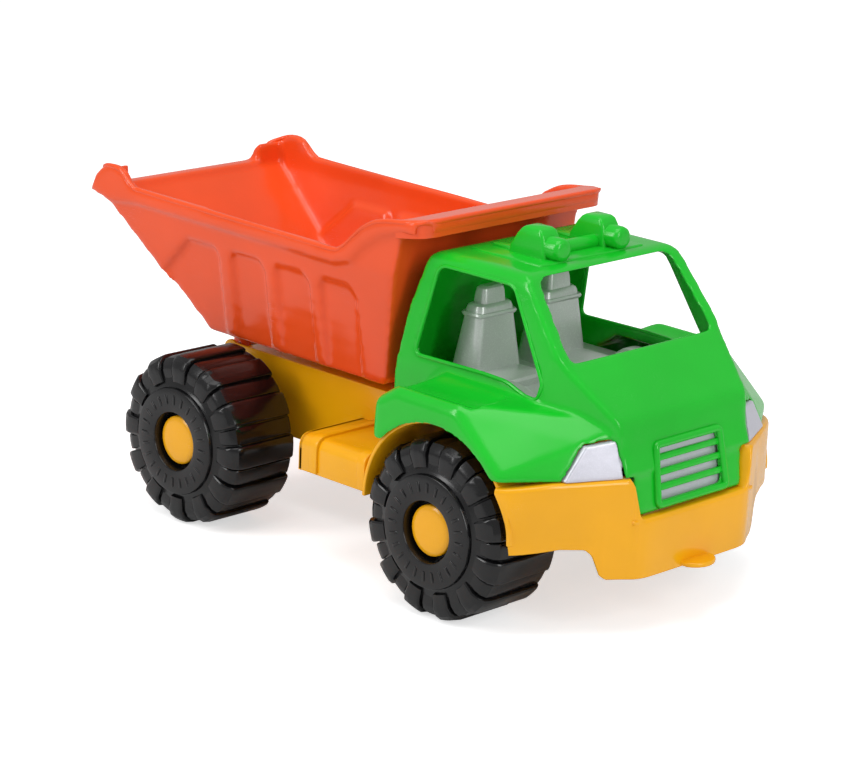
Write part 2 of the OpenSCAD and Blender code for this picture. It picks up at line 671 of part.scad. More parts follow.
// Outline of pocket i on the side wall, seen from the side and drawn in by t
function pocket_outline(i, t) = i == pocket_count ?
    [[floor_rear - 6 + t, pocket_low], [floor_rear - 38 + 2.2 * t, tub_bottom + 34],
        [floor_rear - 10 + t, pocket_top - t], [floor_rear + 15 - t, pocket_top - t],
        [floor_rear + 19 - t, pocket_top - 4 - t], [floor_rear + 19 - t, pocket_low]] :
    let (x = pocket_start + i * pocket_pitch)
    [[x + t, pocket_low], [x + t, pocket_top - 4 - t], [x + 4 + t, pocket_top - t],
        [x + pocket_w - 6 - t, pocket_top - t], [x + pocket_w - t, pocket_top - 6 - t],
        [x + pocket_w - t, pocket_low]];
// Slab of thickness h that lies depth inside the leaning side wall
module pocket(i, t, depth, h) multmatrix([
        [1, 0, 0, 0], [0, 1, wall_slope, 0], [0, 0, 1, 0], [0, 0, 0, 1]])
    translate([0, floor_half_w - wall_slope * tub_bottom - depth, 0])
        rotate([90, 0, 0]) linear_extrude(h) polygon(pocket_outline(i, t));
// Lugs that turn on the hinge rod, and feet that rest on the chassis
lug_t = 6;
lug_y = frame_w / 2 - chassis_wall - 4 - lug_t;
foot_r = 5;
foot_gap = 0.3;
module tub_lugs() both_sides() {
    along_hinge(knuckle_r, lug_y, lug_y + lug_t);
    translate([hinge_x - knuckle_r + 1, lug_y, hinge_z]) cube([2 * knuckle_r, lug_t, hinge_drop + 1]);
    translate([tub_foot - 30, frame_w / 4, frame_top + foot_gap])
        cylinder(h = tub_bottom + 1 - frame_top - foot_gap, r = foot_r);
}
module dump_tub() color([0.97, 0.33, 0.16]) place() difference() {
    union() {
        difference() {
            union() {
                intersection() {
                    tub_form(0);
                    under_rim();
                }
                tub_band();
            }
            tub_form(tub_wall);
            hood_room();
            tail_room();
            tail_notch();
        }
        intersection() {
            tub_form(0);
            both_sides() for (i = [0 : pocket_count])
                pocket(i, -tub_wall, 1, pocket_depth + tub_wall - 1);
        }
        tub_lugs();
    }
    both_sides() for (i = [0 : pocket_count]) pocket(i, 0, -20, pocket_depth + 20);
    along_hinge(rod_r + rod_fit, -frame_w, frame_w);
}

chassis();
dump_tub();
hinge_rod();
cab_shell();
seat_insert();
lamp_insert();
axle_front();
axle_rear();
wheel_front_left();
wheel_front_right();
wheel_rear_left();
wheel_rear_right();
hub_cap_front_left();
hub_cap_front_right();
hub_cap_rear_left();
hub_cap_rear_right();
cab_screw_front_left();
cab_screw_front_right();
cab_screw_rear_left();
cab_screw_rear_right();
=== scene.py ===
import math

import bmesh
import bpy
from mathutils import Matrix, Vector


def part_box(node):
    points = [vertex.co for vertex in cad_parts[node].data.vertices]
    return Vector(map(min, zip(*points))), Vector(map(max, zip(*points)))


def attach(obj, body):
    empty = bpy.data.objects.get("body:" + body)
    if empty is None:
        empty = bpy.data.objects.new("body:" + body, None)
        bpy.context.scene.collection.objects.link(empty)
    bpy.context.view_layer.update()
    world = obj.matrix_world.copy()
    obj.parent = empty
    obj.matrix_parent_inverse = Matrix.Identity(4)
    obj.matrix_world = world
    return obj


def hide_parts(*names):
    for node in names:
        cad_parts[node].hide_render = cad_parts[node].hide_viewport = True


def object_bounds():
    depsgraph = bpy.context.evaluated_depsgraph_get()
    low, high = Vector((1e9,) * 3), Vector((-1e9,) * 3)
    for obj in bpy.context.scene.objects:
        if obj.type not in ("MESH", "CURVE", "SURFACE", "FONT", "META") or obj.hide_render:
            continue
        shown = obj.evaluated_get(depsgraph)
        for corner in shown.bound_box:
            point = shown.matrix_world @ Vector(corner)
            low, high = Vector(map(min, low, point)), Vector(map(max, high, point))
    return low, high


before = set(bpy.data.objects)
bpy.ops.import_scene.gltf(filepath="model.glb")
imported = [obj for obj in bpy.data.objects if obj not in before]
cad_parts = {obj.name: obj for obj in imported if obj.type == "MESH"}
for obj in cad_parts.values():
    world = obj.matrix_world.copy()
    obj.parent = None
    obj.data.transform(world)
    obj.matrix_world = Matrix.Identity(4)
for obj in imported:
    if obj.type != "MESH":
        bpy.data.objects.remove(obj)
cad_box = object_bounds()
scene = bpy.context.scene
truck_low, truck_high = (Vector(corner) for corner in cad_box)


# ---- Camera, floor and light ----
# A long lens looks down on the truck from its front right corner. The floor and the
# world are white, and three soft boxes give the plastic its highlights.
def look(azimuth, elevation, roll):
    """The turn of a camera that looks level along +Y at azimuth 0."""
    a, e, r = (math.radians(angle) for angle in (azimuth, elevation, roll))
    right = Vector((math.cos(a), math.sin(a), 0))
    up = Vector((-math.sin(a) * math.sin(e), math.cos(a) * math.sin(e), math.cos(e)))
    back = right.cross(up)
    tilted = right * math.cos(r) + up * math.sin(r)
    return Matrix((tilted, back.cross(tilted), back)).transposed().to_4x4()


camera_data = bpy.data.cameras.new("camera")
camera_data.lens = 125.9
camera_data.sensor_width = 36
camera = bpy.data.objects.new("camera", camera_data)
camera.matrix_world = Matrix.Translation((1.2688, -1.3131, 0.6239)) @ look(43.98, 16.09, 2.381)
scene.collection.objects.link(camera)
scene.camera = camera
scene.view_settings.view_transform = "Standard"


def soft_box(name, azimuth, elevation, distance, size, watts):
    """A square studio light that faces the truck."""
    data = bpy.data.lights.new(name, "AREA")
    data.shape = "RECTANGLE"
    data.size, data.size_y = size
    data.energy = watts
    light = bpy.data.objects.new(name, data)
    turn = look(azimuth, elevation, 0)
    centre = (truck_low + truck_high) / 2
    light.matrix_world = Matrix.Translation(centre) @ turn @ Matrix.Translation((0, 0, distance))
    scene.collection.objects.link(light)


soft_box("overhead", 20, 78, 1.6, (1.2, 1.2), 11)
soft_box("left_box", -22, 30, 1.7, (0.4, 1.1), 9.5)
soft_box("right_box", 84, 26, 1.9, (0.5, 1.1), 10)

world = bpy.data.worlds.new("studio")
scene.world = world
world.use_nodes = True
sky = world.node_tree
paths = sky.nodes.new("ShaderNodeLightPath")
seen = sky.nodes.new("ShaderNodeMath")
seen.operation = "MAXIMUM"
sky.links.new(paths.outputs["Is Camera Ray"], seen.inputs[0])
sky.links.new(paths.outputs["Is Transmission Ray"], seen.inputs[1])
shiny = sky.nodes.new("ShaderNodeMath")
shiny.operation = "MULTIPLY_ADD"
shiny.inputs[1].default_value = 0.1
shiny.use_clamp = True
sky.links.new(paths.outputs["Is Glossy Ray"], shiny.inputs[0])
sky.links.new(seen.outputs[0], shiny.inputs[2])
level = sky.nodes.new("ShaderNodeMapRange")
level.inputs["To Min"].default_value = 0.46
level.inputs["To Max"].default_value = 1.0
sky.links.new(shiny.outputs[0], level.inputs["Value"])
backdrop = sky.nodes["Background"]
backdrop.inputs["Color"].default_value = (1, 1, 1, 1)
sky.links.new(level.outputs["Result"], backdrop.inputs["Strength"])

floor_mesh = bpy.data.meshes.new("floor")
reach = 9
floor_mesh.from_pydata([(-reach, -reach, 0), (reach, -reach, 0), (reach, reach, 0), (-reach, reach, 0)],
                       [], [(0, 1, 2, 3)])
floor = bpy.data.objects.new("floor", floor_mesh)
scene.collection.objects.link(floor)
paper = bpy.data.materials.new("paper")
paper.use_nodes = True
sheet = paper.node_tree
gloss = sheet.nodes["Principled BSDF"]
gloss.inputs["Base Color"].default_value = (0.86, 0.86, 0.86, 1)
gloss.inputs["Roughness"].default_value = 0.9
gloss.inputs["Specular IOR Level"].default_value = 0.1
glow = sheet.nodes.new("ShaderNodeEmission")
lit = sheet.nodes.new("ShaderNodeAddShader")
paths = sheet.nodes.new("ShaderNodeLightPath")
strength = sheet.nodes.new("ShaderNodeMath")
strength.operation = "MULTIPLY"
strength.inputs[1].default_value = 0.6
sheet.links.new(paths.outputs["Is Camera Ray"], strength.inputs[0])
sheet.links.new(strength.outputs[0], glow.inputs["Strength"])
sheet.links.new(gloss.outputs[0], lit.inputs[0])
sheet.links.new(glow.outputs[0], lit.inputs[1])
sheet.links.new(lit.outputs[0], sheet.nodes["Material Output"].inputs["Surface"])
floor_mesh.materials.append(paper)


# ---- Axles, hinge rod and screws ----
# Drawn steel rod, cut to length, and zinc-plated self-tapping screws. The rods' fine marks
# run round them, because they are ground between rollers.
class Wire:
    """A shader socket on which sums can be written."""

    def __init__(self, finish, socket):
        self.finish = finish
        self.socket = socket

    def sum(self, operation, first, second):
        return self.finish.add("ShaderNodeMath", {"operation": operation}, {0: first, 1: second})

    def __add__(self, other):
        return self.sum("ADD", self, other)

    def __mul__(self, other):
        return self.sum("MULTIPLY", self, other)

    def __sub__(self, other):
        return self.sum("SUBTRACT", self, other)

    def __rsub__(self, other):
        return self.sum("SUBTRACT", other, self)

    __radd__ = __add__
    __rmul__ = __mul__

    def above(self, low, high):
        """0 below low, 1 above high, and a straight rise between them."""
        inputs = {"Value": self, "From Min": low, "From Max": high}
        return self.finish.add("ShaderNodeMapRange", {}, inputs)


class Finish:
    """A material on the Principled shader, with a method that adds any node to it."""

    def __init__(self, name, **sockets):
        self.material = bpy.data.materials.new(name)
        self.material.use_nodes = True
        self.tree = self.material.node_tree
        self.shader = self.tree.nodes["Principled BSDF"]
        self.where = self.add("ShaderNodeTexCoord", output="Object")
        for name, value in sockets.items():
            self.set(name.replace("_", " ").title().replace("Ior", "IOR"), value)

    def join(self, value, socket):
        if isinstance(value, Wire):
            self.tree.links.new(value.socket, socket)
        else:
            socket.default_value = value

    def add(self, kind, settings={}, inputs={}, output=0):
        node = self.tree.nodes.new(kind)
        for key, value in settings.items():
            setattr(node, key, value)
        for key, value in inputs.items():
            self.join(value, node.inputs[key])
        return Wire(self, node.outputs[output])

    def set(self, name, value):
        self.join(value, self.shader.inputs[name])

    def noise(self, scale, detail=3.0, roughness=0.5, vector=None):
        inputs = {"Vector": vector or self.where, "Scale": scale, "Detail": detail, "Roughness": roughness}
        return self.add("ShaderNodeTexNoise", {}, inputs)

    def blend(self, factor, first, second):
        inputs = {0: factor, 6: first, 7: second}
        return self.add("ShaderNodeMix", {"data_type": "RGBA"}, inputs, 2)

    def bump(self, height, distance, normal=None):
        inputs = {"Height": height, "Distance": distance}
        if normal:
            inputs["Normal"] = normal
        return self.add("ShaderNodeBump", {}, inputs)


def metal(name, colour, roughness, stretch):
    """Bright metal with fine marks, drawn out by stretch along each axis."""
    finish = Finish(name, metallic=1.0)
    along = finish.add("ShaderNodeMapping", {}, {"Vector": finish.where, "Scale": stretch})
    marks = finish.noise(1.0, 4, 0.7, along)
    dull = finish.noise(90, 3)
    shade = tuple(0.72 * c for c in colour)
    finish.set("Base Color", finish.blend(dull.above(0.45, 0.75), (*colour, 1), (*shade, 1)))
    finish.set("Roughness", marks * 0.2 + roughness)
    finish.set("Normal", finish.bump(marks, 0.00003))
    return finish.material


rod_steel = metal("rod_steel", (0.62, 0.62, 0.64), 0.2, (60, 2400, 60))
screw_steel = metal("screw_steel", (0.55, 0.54, 0.5), 0.3, (900, 900, 900))
for name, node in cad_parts.items():
    if name.startswith(("axle", "hinge_rod", "cab_screw")):
        node.data.materials.clear()
        node.data.materials.append(screw_steel if name.startswith("cab") else rod_steel)


# ---- Chassis ----
# One yellow polypropylene moulding: rail box, side steps, liners over the front wheels, and
# the bumper with its towing tongue. Pieces are drawn in millimetres ahead of the rear axle.
low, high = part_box("axle_rear")
rear_x = (low.x + high.x) / 2
axle_z = (low.z + high.z) / 2 * 1000
low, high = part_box("axle_front")
wheelbase = ((low.x + high.x) / 2 - rear_x) * 1000
to_truck = Matrix.Translation((rear_x, 0, 0)) @ Matrix.Scale(0.001, 4)


def moulded(name, colour, roughness=0.19, mottle=0.1, scuffs=0.5):
    """Injection-moulded plastic: faint flow marks, orange peel, and fine scuffs from play."""
    finish = Finish(name, specular_ior_level=0.4)
    flow = finish.noise(11, 3, 0.55)
    pores = finish.noise(1500, 2)
    peel = finish.noise(260, 2)
    sink = finish.noise(30, 1)
    streak_way = finish.add("ShaderNodeMapping", {}, {
        "Vector": finish.where, "Rotation": (0.5, 0.3, 0.8), "Scale": (46, 600, 600)})
    streaks = finish.noise(1.0, 2, 0.5, streak_way)
    lines = 1 - finish.add("ShaderNodeMath", {"operation": "ABSOLUTE"}, {0: streaks - 0.5}) * 90
    worn = finish.noise(26, 2).above(0.56, 0.7)
    scratch = lines.above(0, 1) * worn * scuffs
    deep = tuple(c * (1 - mottle) for c in colour)
    pale = tuple(c + (1 - c) * 0.14 for c in colour)
    body = finish.blend(flow.above(0.35, 0.65), (*deep, 1), (*colour, 1))
    finish.set("Base Color", finish.blend(scratch * 0.6, body, (*pale, 1)))
    finish.set("Roughness", flow * 0.1 + pores * 0.05 + scratch * 0.25 + (roughness - 0.07))
    waves = finish.bump(sink, 0.0006)
    skin = finish.bump(peel * 0.75 + pores * 0.25, 0.00004, waves)
    finish.set("Normal", finish.bump(scratch, 0.00001, skin))
    return finish.material


def take(bm):
    """The mesh of a bmesh, with its faces turned outwards."""
    bmesh.ops.recalc_face_normals(bm, faces=bm.faces)
    mesh = bpy.data.meshes.new("part")
    bm.to_mesh(mesh)
    bm.free()
    return mesh


def rounded(points, radii, steps=5):
    """A closed outline whose corners are arcs, with one radius or one for each corner."""
    outline = []
    for i, point in enumerate(points):
        corner = Vector(point)
        before = Vector(points[i - 1]) - corner
        after = Vector(points[(i + 1) % len(points)]) - corner
        radius = radii[i] if isinstance(radii, (list, tuple)) else radii
        span = radius / math.tan(before.angle(after) / 2)
        span = min(span, 0.48 * before.length, 0.48 * after.length)
        if span < 0.05:
            outline.append(corner)
            continue
        start = corner + before.normalized() * span
        end = corner + after.normalized() * span
        for k in range(steps + 1):
            t = k / steps
            outline.append(start * (1 - t) ** 2 + corner * 2 * t * (1 - t) + end * t ** 2)
    return outline


def mirrored(half):
    """An outline that goes on with the mirror image of its half, whose first number is Y."""
    return half + [(-y, z) for y, z in reversed(half)]


def prism(axis, outline, low, high):
    """A slab from low to high along an axis, with its outline in the two other axes."""
    bm = bmesh.new()
    rings = []
    for level in (low, high):
        points = [{"x": (level, p[0], p[1]), "y": (p[0], level, p[1]), "z": (p[0], p[1], level)}[axis]
                  for p in outline]
        rings.append([bm.verts.new(point) for point in points])
        bm.faces.new(rings[-1])
    for i in range(len(outline)):
        bm.faces.new((rings[0][i - 1], rings[0][i], rings[1][i], rings[1][i - 1]))
    return take(bm)


def block(low, high, bevel=0.8):
    """A box between two corners with its edges bevelled."""
    corners = [(low[0], low[1]), (high[0], low[1]), (high[0], high[1]), (low[0], high[1])]
    return bevelled(prism("z", corners, low[2], high[2]), bevel)


def finished(obj):
    """The plain mesh of a work object with its modifiers applied. The object goes."""
    depsgraph = bpy.context.evaluated_depsgraph_get()
    mesh = bpy.data.meshes.new_from_object(obj.evaluated_get(depsgraph))
    bpy.data.objects.remove(obj)
    return mesh


def work(mesh):
    obj = bpy.data.objects.new("work", mesh)
    scene.collection.objects.link(obj)
    return obj


def bevelled(mesh, width, angle=35, segments=3):
    obj = work(mesh)
    bevel = obj.modifiers.new("bevel", "BEVEL")
    bevel.width = width
    bevel.segments = segments
    bevel.limit_method = "ANGLE"
    bevel.angle_limit = math.radians(angle)
    return finished(obj)


def carve(operation, mesh, *tools, solver="EXACT"):
    """The mesh after a UNION, DIFFERENCE or INTERSECT with each tool in turn."""
    base = work(mesh)
    others = [work(tool) for tool in tools]
    for other in others:
        cut = base.modifiers.new("cut", "BOOLEAN")
        cut.operation = operation
        cut.solver = solver
        cut.object = other
    result = finished(base)
    for other in others:
        bpy.data.objects.remove(other)
    return result


def flipped(mesh):
    """The mirror image of a mesh on the truck's other side."""
    bm = bmesh.new()
    bm.from_mesh(mesh)
    bmesh.ops.transform(bm, matrix=Matrix.Diagonal((1, -1, 1, 1)), verts=bm.verts)
    return take(bm)


def both(mesh):
    return [mesh, flipped(mesh)]


def piece(name, meshes, material, body, slot, *nodes, sharp=38):
    """Joins closed meshes into one piece, in metres, and hands it to the frame."""
    bm = bmesh.new()
    for mesh in meshes:
        bm.from_mesh(mesh)
    bmesh.ops.transform(bm, matrix=to_truck, verts=bm.verts)
    mesh = bpy.data.meshes.new(name)
    bm.to_mesh(mesh)
    bm.free()
    mesh.shade_smooth()
    mesh.set_sharp_from_angle(angle=math.radians(sharp))
    mesh.materials.clear()
    mesh.materials.append(material)
    obj = bpy.data.objects.new(name, mesh)
    scene.collection.objects.link(obj)
    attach(obj, body)
    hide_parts(*nodes)


def through(points, spacing):
    """Points about spacing apart on a smooth curve through the given points."""
    points = [Vector(p) for p in points]
    ends = [2 * points[0] - points[1]] + points + [2 * points[-1] - points[-2]]
    curve = []
    for i in range(1, len(ends) - 2):
        a, b, c, d = ends[i - 1:i + 3]
        steps = max(1, round((c - b).length / spacing))
        for k in range(steps):
            t = k / steps
            curve.append(b + (c - a) * (t / 2) + (2 * a - 5 * b + 4 * c - d) * (t * t / 2)
                         + (3 * b - a - 3 * c + d) * (t ** 3 / 2))
    return curve + [points[-1]]


yellow = moulded("yellow_plastic", (0.93, 0.43, 0.004))
wall = 2.4
frame_half_w = 52
frame_top, frame_bottom = 102, 52
tail_x, tail_top = -40, 85
hinge_x, hinge_z = -28, 97
deck_end, rail_end = wheelbase + 40, wheelbase + 88
arch_r = axle_z + 2.7
arch_z = axle_z + 5.7
bumper_top = 97
nose_shelf = 72.8
rail_outline = rounded(
    [(tail_x, frame_bottom), (rail_end, frame_bottom), (rail_end, nose_shelf), (deck_end, nose_shelf),
     (deck_end, frame_top), (hinge_x, frame_top), (-33.5, hinge_z), (tail_x, tail_top)],
    [2, 2, 1, 1, 1, 5, 4, 3])
rail = bevelled(prism("y", rail_outline, frame_half_w - wall, frame_half_w), 0.9)
deck = block((-14.5, -frame_half_w + 0.2, frame_top - wall),
             (deck_end, frame_half_w - 0.2, frame_top - 0.05), 1)
tail_board = block((tail_x, -frame_half_w + 0.3, frame_bottom),
                   (tail_x + wall, frame_half_w - 0.3, tail_top))


def circle(u, v, radius, count):
    """Points evenly spaced round a circle."""
    return [(u + radius * math.cos(a), v + radius * math.sin(a))
            for a in (math.tau * i / count for i in range(count))]


def rod_boss(x, z, radius, y0, y1):
    """A round boss along Y with a bevelled rim."""
    return bevelled(prism("y", circle(x, z, radius, 40), y0, y1), 0.6)


knuckle = rod_boss(hinge_x, hinge_z, 6.5, frame_half_w - wall, frame_half_w)
bosses = [rod_boss(x, axle_z, 9, frame_half_w - wall, 74) for x in (0, wheelbase)]

# The steps are open below, with two flutes that wrap over their outer corner.
step_x0, step_x1 = axle_z + 40, wheelbase - arch_r + 4
step_y, step_top, step_foot = 105, 80, 57
step_root = 50


def step_skin(grow, thick, low):
    """The section of a step's wall in Y and Z, grown outwards and made thick inwards."""
    outer, inner = (
        rounded([(step_y + by, low), (step_y + by, step_top + by), (step_root, step_top + by)],
                [0, bend, 0], 8) for by, bend in ((grow, 9), (-thick, 7)))
    return outer + inner[::-1]


step = bevelled(prism("x", step_skin(0, wall, step_foot), step_x0, step_x1), 0.7, 50)
step_corners = [(step_root, step_foot), (step_y, step_foot), (step_y, step_top), (step_root, step_top)]
step_end = prism("x", rounded(step_corners, [0, 0, 9, 0], 8), step_x0, step_x0 + wall)
flutes = [bevelled(prism("x", step_skin(1.5, 1.2, 58), x, x + 7), 0.6, 50)
          for x in (step_x0 + 10, step_x0 + 52)]

arc = [math.pi * i / 48 for i in range(49)]
liner = [(wheelbase + (arch_r + 2.5) * math.cos(a), arch_z + (arch_r + 2.5) * math.sin(a)) for a in arc]
liner += [(wheelbase + arch_r * math.cos(a), arch_z + arch_r * math.sin(a)) for a in reversed(arc)]
liner = bevelled(prism("y", liner, frame_half_w - wall, 118), 0.8)


def loft(rings, caps=True):
    """A closed skin through rings that all have as many points."""
    bm = bmesh.new()
    layers = [[bm.verts.new(point) for point in ring] for ring in rings]
    pairs = list(zip(layers, layers[1:])) + ([] if caps else [(layers[-1], layers[0])])
    for first, second in pairs:
        for i in range(len(first)):
            bm.faces.new((first[i - 1], first[i], second[i], second[i - 1]))
    if caps:
        bm.faces.new(layers[0])
        bm.faces.new(layers[-1])
    return take(bm)


def ramp(value, *stops):
    """Straight lines through (position, height) stops."""
    for (x0, y0), (x1, y1) in zip(stops, stops[1:]):
        if value <= x1:
            return y0 + (y1 - y0) * max(0.0, value - x0) / (x1 - x0)
    return stops[-1][1]


# The bumper is one skin swept round the truck's nose. Its top drops to a notch that takes
# the cab's nose, its lower edge rises beside the wheels, and its ends follow the arches.
sweep = through([(325, 0, 0), (325, 30, 0), (324.6, 43, 0), (322.4, 50.5, 0), (318, 58, 0), (311, 71, 0),
                 (303, 86, 0), (293.5, 103, 0), (284, 115, 0), (275, 120.6, 0), (262, 121.6, 0)], 1.5)
half = []
for i, point in enumerate(sweep[:-1]):
    ahead = sweep[i + 1] - point if i == 0 else sweep[i + 1] - sweep[i - 1]
    outward = Vector((ahead.y, -ahead.x)).normalized()
    top = ramp(point.y, (0, nose_shelf), (46.5, nose_shelf), (49, 76), (53, 94), (55, bumper_top),
               (96, bumper_top), (122, 94))
    low_edge = ramp(point.y, (0, 36.5), (50, 36.5), (66, 37.3), (69.5, 40), (72, 47), (74, 52.5),
                    (78, 56.3), (92, 57.5), (122, 54))
    span = arch_r ** 2 - (point.x - wheelbase) ** 2
    if span > 0:
        low_edge = max(low_edge, arch_z + math.sqrt(span))
    if top - low_edge < 3:
        break
    section = [(0.9, low_edge), (0.2, low_edge + 0.5), (0, low_edge + 1.4), (0, top - 2.6), (0.35, top - 1.3),
               (1.1, top - 0.4), (2.4, top), (7, top), (7.4, top - 0.6), (7, top - 1.2), (3.6, top - wall),
               (wall, top - wall - 1.2), (wall, low_edge + 0.7), (wall - 0.6, low_edge)]
    half.append([(point.x - outward.x * o, point.y - outward.y * o, z) for o, z in section])
rings = [[(x, -y, z) for x, y, z in ring] for ring in reversed(half[1:])] + half
bumper = loft(rings)
shelf = block((262, -54, nose_shelf - wall), (322.6, 54, nose_shelf - 0.1), 0.6)
ledge = block((266, 54.2, nose_shelf - wall), (319, 56.6, bumper_top - 0.3), 0.6)
tongue = prism("z", [(318, -13)] + [(322.5 + 14.4 * math.cos(a), 14.4 * math.sin(a))
    for a in (math.radians(i) for i in range(-60, 61, 10))] + [(318, 13)], 37.4, 40.4)
piece("yellow_chassis",
      both(rail) + [deck, tail_board] + both(knuckle) + [m for b in bosses for m in both(b)] + both(step)
      + both(step_end) + [m for f in flutes for m in both(f)] + both(liner) + both(ledge)
      + [bumper, shelf, bevelled(tongue, 1.2, 60)],
      yellow, "truck", "yellow_plastic", "chassis")


# ---- Wheels and hub caps ----
# Black moulded wheels, hollow behind, with twelve lugs that wrap over the shoulder and a
# raised ring round the hub recess. A yellow cap is pushed onto each end of the axle.
def turned(profile, segments=112):
    """A solid turned about Y from points of radius and depth; points on the axis close it."""
    bm = bmesh.new()
    rings = []
    for i in range(segments):
        a = math.tau * i / segments
        rings.append([bm.verts.new((r * math.cos(a), d, r * math.sin(a))) for r, d in profile])
    for i in range(segments):
        for k in range(len(profile)):
            corners = (rings[i - 1][k - 1], rings[i - 1][k], rings[i][k], rings[i][k - 1])
            if profile[k][0] or profile[k - 1][0]:
                bm.faces.new(corners)
    bmesh.ops.remove_doubles(bm, verts=bm.verts, dist=0.0001)
    return take(bm)


def ring_tree():
    """Copies of a mesh, evenly spaced round Y."""
    tree = bpy.data.node_groups.new("ring_of_copies", "GeometryNodeTree")
    face = tree.interface
    face.new_socket("Geometry", in_out="INPUT", socket_type="NodeSocketGeometry")
    face.new_socket("Count", in_out="INPUT", socket_type="NodeSocketInt")
    face.new_socket("Turn", in_out="INPUT", socket_type="NodeSocketFloat")
    face.new_socket("Material", in_out="INPUT", socket_type="NodeSocketMaterial")
    face.new_socket("Geometry", in_out="OUTPUT", socket_type="NodeSocketGeometry")

    def node(kind, settings={}, **links):
        made = tree.nodes.new(kind)
        for key, value in settings.items():
            setattr(made, key, value)
        for key, source in links.items():
            target = made.inputs[int(key[1:])] if key[0] == "_" else made.inputs[key.replace("_", " ")]
            if hasattr(source, "node"):
                tree.links.new(source, target)
            else:
                target.default_value = source
        return made

    given = tree.nodes.new("NodeGroupInput").outputs
    points = node("GeometryNodePoints", Count=given["Count"]).outputs[0]
    index = tree.nodes.new("GeometryNodeInputIndex").outputs[0]
    pitch = node("ShaderNodeMath", {"operation": "DIVIDE"}, _0=math.tau, _1=given["Count"]).outputs[0]
    angle = node("ShaderNodeMath", {"operation": "MULTIPLY_ADD"},
                 _0=index, _1=pitch, _2=given["Turn"]).outputs[0]
    turn = node("ShaderNodeCombineXYZ", Y=angle).outputs[0]
    copies = node("GeometryNodeInstanceOnPoints",
                  Points=points, Instance=given["Geometry"], Rotation=turn).outputs[0]
    real = node("GeometryNodeRealizeInstances", Geometry=copies).outputs[0]
    painted = node("GeometryNodeSetMaterial", Geometry=real, Material=given["Material"]).outputs[0]
    node("NodeGroupOutput", Geometry=painted)
    return tree


ring_of_copies = ring_tree()
black = moulded("black_plastic", (0.0045, 0.0045, 0.005), 0.2, 0.25, 0.3)


def ringed(mesh, count, turn, material):
    """The mesh repeated count times round Y by the tree above."""
    obj = work(mesh)
    nodes = obj.modifiers.new("ring", "NODES")
    nodes.node_group = ring_of_copies
    sockets = {item.name: item.identifier
               for item in ring_of_copies.interface.items_tree if item.in_out == "INPUT"}
    nodes[sockets["Count"]] = count
    nodes[sockets["Turn"]] = turn
    nodes[sockets["Material"]] = material
    return finished(obj)


def lug_ring(degrees, drop):
    """The section of a lug at one angle, with its outer skin dropped by so much."""
    skin = [(38, 3.6), (46.5, 3.0), (51.3, 4.7), (54.1, 8), (55, 13), (55, 52.5), (54.2, 53.9)]
    root = [(52, 53.9), (52, 16), (44, 8.5), (38, 7)]
    points = [(r - drop * min(1, (r - 38) / 14), d + drop * max(0, (13 - d) / 10)) for r, d in skin] + root
    a = math.radians(degrees)
    return [(r * math.sin(a), d, r * math.cos(a)) for r, d in points]


low_bar_shape = [(-5.9, 2.9), (-5.6, 2.1), (-5, 1.8), (0, 1.7), (5, 1.8), (5.6, 2.1), (5.9, 2.9)]
lug_shape = [(-8, 1.5), (-7.7, 0.7), (-7, 0.2), (-6, 0), (-2, 0), (2, 0), (6, 0), (7, 0.2), (7.7, 0.7),
             (8, 1.5)]
tyre_profile = [(3.06, 14), (18.6, 14), (18.6, 1.6), (19.0, 0.9), (19.8, 0.6), (33.4, 0.6), (34.1, 0.9),
                (34.4, 1.6), (34.6, 3.6), (36.5, 4.8), (44, 5.4), (48.6, 8), (51.3, 11.5), (52.1, 15),
                (52.1, 53), (51.8, 54), (50.8, 54), (50.8, 17), (46, 11.5), (35.4, 9), (21, 8.4),
                (21, 16.4), (9, 16.4), (9, 53), (3.06, 53)]
cap_profile = [(0, 3.5), (7, 3.6), (12, 3.9), (14.4, 4.4), (15.3, 5.1), (15.6, 6), (15.6, 7.6),
               (15.1, 8), (6.2, 8), (6.2, 13.7), (3.02, 13.7), (3.02, 6.4), (0, 6.4)]
tick = [(23.6, 0.9), (23.9, 0.2), (24.5, 0), (29.5, 0), (30.1, 0.2), (30.4, 0.9)]
tick = loft([[(r, d + k * 0.5, w) for r, d in tick] for w, k in
             ((-0.9, 1), (-0.7, 0.3), (-0.4, 0), (0.4, 0), (0.7, 0.3), (0.9, 1))])
lug_count, tick_count = 12, 24
half_pitch = math.pi / lug_count
wheel_face = 125


def to_wheel(mesh, x, side):
    """Moves a mesh made from the wheel's face inwards to a wheel of one side."""
    bm = bmesh.new()
    bm.from_mesh(mesh)
    place = Matrix.Translation((x, side * wheel_face, axle_z)) @ Matrix.Diagonal((1, -side, 1, 1))
    bmesh.ops.transform(bm, matrix=place, verts=bm.verts)
    return take(bm)


for end, x, turn in (("front", wheelbase, half_pitch), ("rear", 0, 0)):
    for side_name, side in (("left", 1), ("right", -1)):
        corner = f"{end}_{side_name}"
        lugs = ringed(loft([lug_ring(a, d) for a, d in lug_shape]), lug_count, turn, black)
        low_bars = ringed(loft([lug_ring(a, d) for a, d in low_bar_shape]), lug_count,
                          turn + half_pitch, black)
        ticks = ringed(tick.copy(), tick_count, turn, black)
        meshes = [to_wheel(m, x, side) for m in (turned(tyre_profile), lugs, low_bars, ticks)]
        piece(f"tyre_{corner}", meshes, black, f"wheel_{corner}", "black_plastic",
              f"wheel_{corner}", sharp=30)
        piece(f"yellow_cap_{corner}", [to_wheel(turned(cap_profile, 72), x, side)], yellow,
              f"{end}_axle", "yellow_plastic", f"hub_cap_{corner}", sharp=30)


